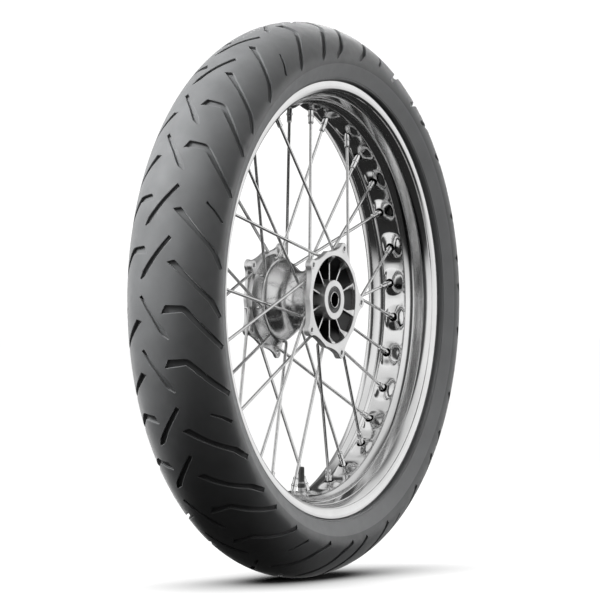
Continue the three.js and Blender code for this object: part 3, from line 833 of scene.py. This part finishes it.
def carrier_parts(side):
    sign = side["sign"]

    def place(point, height):
        return Vector((point.x, sign * height, point.y))

    parts = slab(carrier_loops(side["recess"]), side["back"], BOSS_FACE, RING_BEVEL, place, 0)
    pad = [(LUG_PAD, BOSS_FACE - 1), (LUG_PAD, BOSS_FACE), (LUG_PAD - 0.35, BOSS_FACE + PAD_HEIGHT),
           (LUG_HOLE + 0.5, BOSS_FACE + PAD_HEIGHT), (LUG_HOLE, BOSS_FACE - 0.2), (LUG_HOLE, BOSS_FACE - 1)]
    lugs = [(k, pad) for k in range(LUG_COUNT)]
    for k, end in enumerate(side["bosses"]):
        boss = [(LUG_HOLE, end), (LUG_BOSS - 0.5, end), (LUG_BOSS, end + 0.5),
                (LUG_BOSS, BOSS_FACE - 1.5), (LUG_HOLE, BOSS_FACE - 1.5)]
        lugs.append((k, boss))
    for k, profile in lugs:
        centre = polar(LUG_START + 360 / LUG_COUNT * k, LUG_CIRCLE, 0)
        vertices, faces, look = lathe(mirrored(profile, sign), 28)
        parts.append(([v + centre for v in vertices], faces, look))
    return parts


def web_part(edge, sign):
    """The ramp at a rib's outer end, from the rib's front up to the ring's."""
    rows = 6
    vertices, faces = [], []
    for i in range(rows + 1):
        share = i / rows
        half = RIB_HALF + (WEB_HALF - RIB_HALF) * share ** 1.5
        front = RIB_FACE + STRIP_LIFT + (WEB_FACE - RIB_FACE - STRIP_LIFT) * smoothstep(0, 1, share)
        back = RIB_FACE - 1.5 + (WEB_FACE - 4 - RIB_FACE) * share
        radius = edge - WEB_REACH * (1 - share)
        for across, height in ((-half, back), (-half, front - 0.3), (0.3 - half, front),
                               (half - 0.3, front), (half, front - 0.3), (half, back)):
            vertices.append(Vector((radius, sign * height, across)))
    for i in range(rows):
        for j in range(6):
            k = (j + 1) % 6
            faces.append([i * 6 + j, i * 6 + k, i * 6 + 6 + k, i * 6 + 6 + j])
    faces.append(list(range(6)))
    faces.append([rows * 6 + 5 - j for j in range(6)])
    return vertices, faces, 1


def rib_parts(side):
    sign, edge = side["sign"], side["recess"] + RIB_INSET
    corners = [(23.4, 20.5), (31.5, 20.5), (edge, 36.5), (edge, RIB_FACE), (23.4, RIB_FACE)]
    outline = [Vector(p) for p in corners]

    def upright(point, height):
        return Vector((point.x, sign * point.y, height))

    # The rib's sides take the near-black look, which paints the recess's shade on them.
    wall = slab([outline], -RIB_HALF, RIB_HALF, 0.25, upright, 2)
    front = [Vector(p) for p in ((22.6, -RIB_HALF), (edge, -RIB_HALF), (edge, RIB_HALF), (22.6, RIB_HALF))]

    def lying(point, height):
        return Vector((point.x, sign * height, point.y))

    strip = slab([front], RIB_FACE - 0.3, RIB_FACE + STRIP_LIFT, 0.2, lying, 1)
    parts = wall + strip + [web_part(edge, sign)]
    copies = []
    for part in parts:
        copies += repeated(part, RIB_COUNT, 360 / RIB_COUNT, RIB_START)
    return copies


piece("hub_drum", hub_body(), [DRUM, SATIN, RECESS_PAINTED_SHADE], "wheel", ["hub"], crease=35)
for name, side in SIDES.items():
    piece("hub_carrier_" + name, carrier_parts(side), [SATIN], "wheel", crease=35)
    piece("hub_ribs_" + name, rib_parts(side), [DRUM, SATIN, RECESS_PAINTED_SHADE], "wheel", crease=35)


# ---- Seals and collars ----

RING_SIDES = 72

for name, side in SIDES.items():
    sign = side["sign"]
    seal = [(9.9, 43.2), (15, 43.2), (15, 44.3), (14.7, 44.6), (13.4, 44.6), (13.1, 44.2), (12.6, 44.2),
            (12.3, 44.6), (11.2, 44.6), (10.8, 44.2), (10.2, 44.5), (9.9, 44.2)]
    collar = [(8.5, 44.9), (8.8, 45.2), (9.2, 45.2), (9.5, 44.9), (9.5, 41.7), (8.5, 41.7)]
    seal_parts = [lathe(mirrored(seal, sign), RING_SIDES)]
    piece("seal_" + name, seal_parts, [SEAL], "wheel", ["dust_seal_" + name])
    collar_parts = [lathe(mirrored(collar[:5], sign), RING_SIDES, 0, closed=False),
                    lathe(mirrored(collar[4:] + collar[:1], sign), RING_SIDES, 1, closed=False)]
    piece("collar_" + name, collar_parts, [NIPPLE, DARK_BORE_AND_PAINTED_SHADE], "axle_group", ["side_collar_" + name])


# ---- Valve ----

CAP_TIP = 195.5
CAP_LENGTH = 24.5
VALVE_START = 250  # the radius from which a turned valve piece is measured
VALVE_AXIS = (polar(-90, VALVE_START, 0), polar(-90, 0, 0))
THREAD_PITCH = 1.1
THREAD_TURNS = 14
FLUTES = 12


def valve_bar(steps, sides, look=0):
    """A turned piece on the valve's axis from (wheel radius, own radius) points."""
    return aimed(bar([(VALVE_START - radius, own) for radius, own in steps], sides, look), *VALVE_AXIS)


stem = [(249, 7.6), (247.6, 8), (247.2, 4.2), (245, 4), (229, 4)]
for i in range(THREAD_TURNS):
    stem += [(228.6 - THREAD_PITCH * i, 3.75), (228.05 - THREAD_PITCH * i, 4.0)]
stem += [(212, 3.1), (202, 3.1), (201.2, 2.8)]
piece("valve_stem_turned", [valve_bar(stem, 28)], [BRASS], "wheel", ["valve_stem"])

nut = [flat(60 * i, 6.4) for i in range(6)]
nut = [nut[i].lerp(nut[(i + 1) % 6], share) for i in range(6) for share in (0.08, 0.5, 0.92)]
nut_hole = [flat(-15 * i, 4.3) for i in range(24)]


def nut_place(point, height):
    return Vector((point.x, point.y, -height))


nut_parts = slab([nut, nut_hole], 225, 229, 0.5, nut_place)
piece("valve_nut_hex", nut_parts, [STEEL], "wheel", ["valve_nut"])


def cap_parts():
    sides = 48
    mouth = CAP_TIP + CAP_LENGTH
    # wheel radius, own radius and depth of the flutes
    rows = [(mouth, 3.5, 0), (mouth, 4.0, 0), (mouth - 0.4, 4.3, 0), (mouth - 4, 4.3, 0),
            (mouth - 4.6, 3.9, 0), (213, 3.85, 0.22), (203, 3.75, 0.22), (199, 3.7, 0.1),
            (CAP_TIP + 1.2, 3.5, 0), (CAP_TIP + 0.3, 2.9, 0), (CAP_TIP, 1.8, 0)]
    vertices, faces = [], []
    for radius, own, flute in rows:
        for j in range(sides):
            angle = 2 * math.pi * j / sides
            size = own - flute * (0.5 + 0.5 * math.cos(FLUTES * angle))
            vertices.append(Vector((size * math.cos(angle), size * math.sin(angle), -radius)))
    for i in range(len(rows) - 1):
        for j in range(sides):
            k = (j + 1) % sides
            faces.append([i * sides + j, i * sides + k, (i + 1) * sides + k, (i + 1) * sides + j])
    faces.append(list(range(sides)))
    faces.append([len(vertices) - 1 - j for j in range(sides)])
    return vertices, faces, 0


piece("valve_cap_fluted", [cap_parts()], [CAP], "valve_cap", ["valve_cap"])


# ---- The frame's own nodes that stay ----

for name, look in (
    ("rim_strip", LINER), ("inner_tube", LINER), ("valve_core", BRASS), ("valve_pin", BRASS),
    ("bearing_outer_race_right", STEEL), ("bearing_outer_race_left", STEEL),
    ("bearing_inner_race_right", DARK_BORE_AND_PAINTED_SHADE), ("bearing_inner_race_left", DARK_BORE_AND_PAINTED_SHADE),
    ("bearing_cage_right", STEEL), ("bearing_cage_left", STEEL),
    ("bearing_circlip", STEEL), ("spacer_tube", DARK_BORE_AND_PAINTED_SHADE),
):
    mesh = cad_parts[name].data
    mesh.materials.clear()
    mesh.materials.append(look)


# ---- Stage, light and camera ----

CAMERA_WAY = Vector((-0.867, -0.498, 0)).normalized()
CAMERA_DISTANCE = 4.7
FLOOR_Z = CAD_BOX[0][2]
FLOOR_RADII = [0.5, 1, 2, 5, 12, 30]
LAMP_DISTANCE = 2.6
# How strong the sky is: for what lights the rubber, and behind the object.
SOFT_STRENGTH = 0.2
BACKDROP_STRENGTH = 1.1
CARD_LEVEL = 0.06  # what a dark card leaves of the light
# The mirrored light's level from straight down (0) through the horizon (0.5) to straight up (1).
SKY_STOPS = [(0.0, 0.02), (0.315, 0.03), (0.375, 0.7), (0.50, 1.0), (0.70, 0.95), (0.93, 0.7), (1.0, 0.05)]
# Dark areas that metal mirrors: the way to each, whether it's a strip from floor to ceiling, and the
# cosines at which it starts and is full.
DARK_CARDS = [(CAMERA_WAY, True, 0.96, 0.992), ((-0.15, 1, 0), False, 0.86, 0.96),
              ((0.8, 0.35, 0.45), False, 0.8, 0.95)]


def build_floor():
    sides = 64
    vertices, faces = [], []
    for radius in FLOOR_RADII:
        for j in range(sides):
            angle = 2 * math.pi * j / sides
            vertices.append((radius * math.cos(angle), radius * math.sin(angle), FLOOR_Z))
    faces.append(list(range(sides)))
    for i in range(len(FLOOR_RADII) - 1):
        for j in range(sides):
            k = (j + 1) % sides
            faces.append([i * sides + j, (i + 1) * sides + j, (i + 1) * sides + k, i * sides + k])
    mesh = bpy.data.meshes.new("studio_floor")
    mesh.from_pydata(vertices, [], faces)
    look = Look("studio_floor", 0, specular=0)
    look.colour(look.noise(3, 2), grey(0.03), grey(0.035))
    look.rough(look.noise(8, 2), 0.8, 0.9)
    # Painted contact shadow: ambient occlusion dims the floor's glow under and beside the wheel.
    painted_shadow_occlusion = look.node("ShaderNodeAmbientOcclusion", Distance=0.16)
    painted_shadow_occlusion.samples = 24
    glow_with_painted_shadow = look.spread(painted_shadow_occlusion.outputs["AO"], 0.0, 1.0, 0.25, 0.9)
    look.feed(look.shader.inputs["Emission Strength"], glow_with_painted_shadow)
    look.shader.inputs["Emission Color"].default_value = (1, 1, 1, 1)
    mesh.materials.append(look.material)
    floor = bpy.data.objects.new("studio_floor", mesh)
    bpy.context.scene.collection.objects.link(floor)
    floor.visible_glossy = False
    floor.visible_diffuse = False


def build_world():
    """White behind the object. What metal mirrors is light above the horizon, dark below it and dark round
    the camera; what lights the rubber is much weaker."""
    world = bpy.data.worlds.new("studio")
    bpy.context.scene.world = world
    world.use_nodes = True
    tree = world.node_tree
    tree.nodes.clear()
    link = tree.links.new
    way = tree.nodes.new("ShaderNodeTexCoord").outputs["Generated"]
    split = tree.nodes.new("ShaderNodeSeparateXYZ")
    link(way, split.inputs[0])
    height = tree.nodes.new("ShaderNodeMapRange")
    height.inputs["From Min"].default_value = -1
    height.inputs["From Max"].default_value = 1
    link(split.outputs[2], height.inputs["Value"])
    ramp = tree.nodes.new("ShaderNodeValToRGB")
    while len(ramp.color_ramp.elements) < len(SKY_STOPS):
        ramp.color_ramp.elements.new(0.5)
    for element, (position, level) in zip(ramp.color_ramp.elements, SKY_STOPS):
        element.position = position
        element.color = (level, level, level, 1)
    link(height.outputs[0], ramp.inputs[0])
    strength = None
    level_way = tree.nodes.new("ShaderNodeVectorMath")
    level_way.operation = "MULTIPLY"
    link(way, level_way.inputs[0])
    level_way.inputs[1].default_value = (1, 1, 0)
    compass = tree.nodes.new("ShaderNodeVectorMath")
    compass.operation = "NORMALIZE"
    link(level_way.outputs[0], compass.inputs[0])
    for card, upright, edge, middle in DARK_CARDS:
        towards = tree.nodes.new("ShaderNodeVectorMath")
        towards.operation = "DOT_PRODUCT"
        link(compass.outputs[0] if upright else way, towards.inputs[0])
        towards.inputs[1].default_value = Vector(card).normalized()
        shade = tree.nodes.new("ShaderNodeMapRange")
        shade.interpolation_type = "SMOOTHSTEP"
        limits = (("From Min", edge), ("From Max", middle), ("To Min", 1.0), ("To Max", CARD_LEVEL))
        for name, value in limits:
            shade.inputs[name].default_value = value
        link(towards.outputs["Value"], shade.inputs["Value"])
        joined = tree.nodes.new("ShaderNodeMath")
        joined.operation = "MULTIPLY"
        link(shade.outputs["Result"], joined.inputs[0])
        if strength is None:
            joined.inputs[1].default_value = 1.0
        else:
            link(strength, joined.inputs[1])
        strength = joined.outputs[0]
    rays = tree.nodes.new("ShaderNodeLightPath")
    mirrored_light = tree.nodes.new("ShaderNodeBackground")
    link(ramp.outputs[0], mirrored_light.inputs["Color"])
    link(strength, mirrored_light.inputs["Strength"])
    soft_light = tree.nodes.new("ShaderNodeBackground")
    link(ramp.outputs[0], soft_light.inputs["Color"])
    soft_light.inputs["Strength"].default_value = SOFT_STRENGTH
    backdrop = tree.nodes.new("ShaderNodeBackground")
    backdrop.inputs["Color"].default_value = (1, 1, 1, 1)
    backdrop.inputs["Strength"].default_value = BACKDROP_STRENGTH
    lit = tree.nodes.new("ShaderNodeMixShader")
    link(rays.outputs["Is Diffuse Ray"], lit.inputs[0])
    link(mirrored_light.outputs[0], lit.inputs[1])
    link(soft_light.outputs[0], lit.inputs[2])
    seen = tree.nodes.new("ShaderNodeMixShader")
    link(rays.outputs["Is Camera Ray"], seen.inputs[0])
    link(lit.outputs[0], seen.inputs[1])
    link(backdrop.outputs[0], seen.inputs[2])
    output = tree.nodes.new("ShaderNodeOutputWorld")
    link(seen.outputs[0], output.inputs["Surface"])


def softbox(name, way, width, height, power):
    """A lamp that shines at the wheel's centre and isn't mirrored in metal."""
    data = bpy.data.lights.new(name, "AREA")
    data.shape = "RECTANGLE"
    data.size = width
    data.size_y = height
    data.energy = power
    lamp = bpy.data.objects.new(name, data)
    bpy.context.scene.collection.objects.link(lamp)
    place = Vector(way).normalized() * LAMP_DISTANCE
    lamp.location = place
    lamp.rotation_euler = (-place).to_track_quat("-Z", "Y").to_euler()
    lamp.visible_camera = False
    lamp.visible_glossy = False


def build_camera():
    data = bpy.data.cameras.new("photo_camera")
    data.sensor_width = 36
    data.lens = 240.7
    data.shift_x = -0.0022
    data.shift_y = -0.0003
    data.clip_end = 200
    camera = bpy.data.objects.new("photo_camera", data)
    bpy.context.scene.collection.objects.link(camera)
    camera.location = CAMERA_WAY * CAMERA_DISTANCE
    camera.rotation_euler = (-CAMERA_WAY).to_track_quat("-Z", "Y").to_euler()
    bpy.context.scene.camera = camera


build_floor()
build_world()
softbox("key", (-0.54, 0.51, 0.67), 1.4, 1.2, 400)
softbox("front_fill", (-0.7, -0.3, 0.65), 1.2, 1.2, 24)
softbox("side_key", (0.78, -0.62, 0.05), 1.4, 1.4, 94)
softbox("edge_light", (0.85, 0.25, 0.46), 1.8, 0.8, 140)
build_camera()
bpy.context.scene.view_settings.view_transform = "Standard"
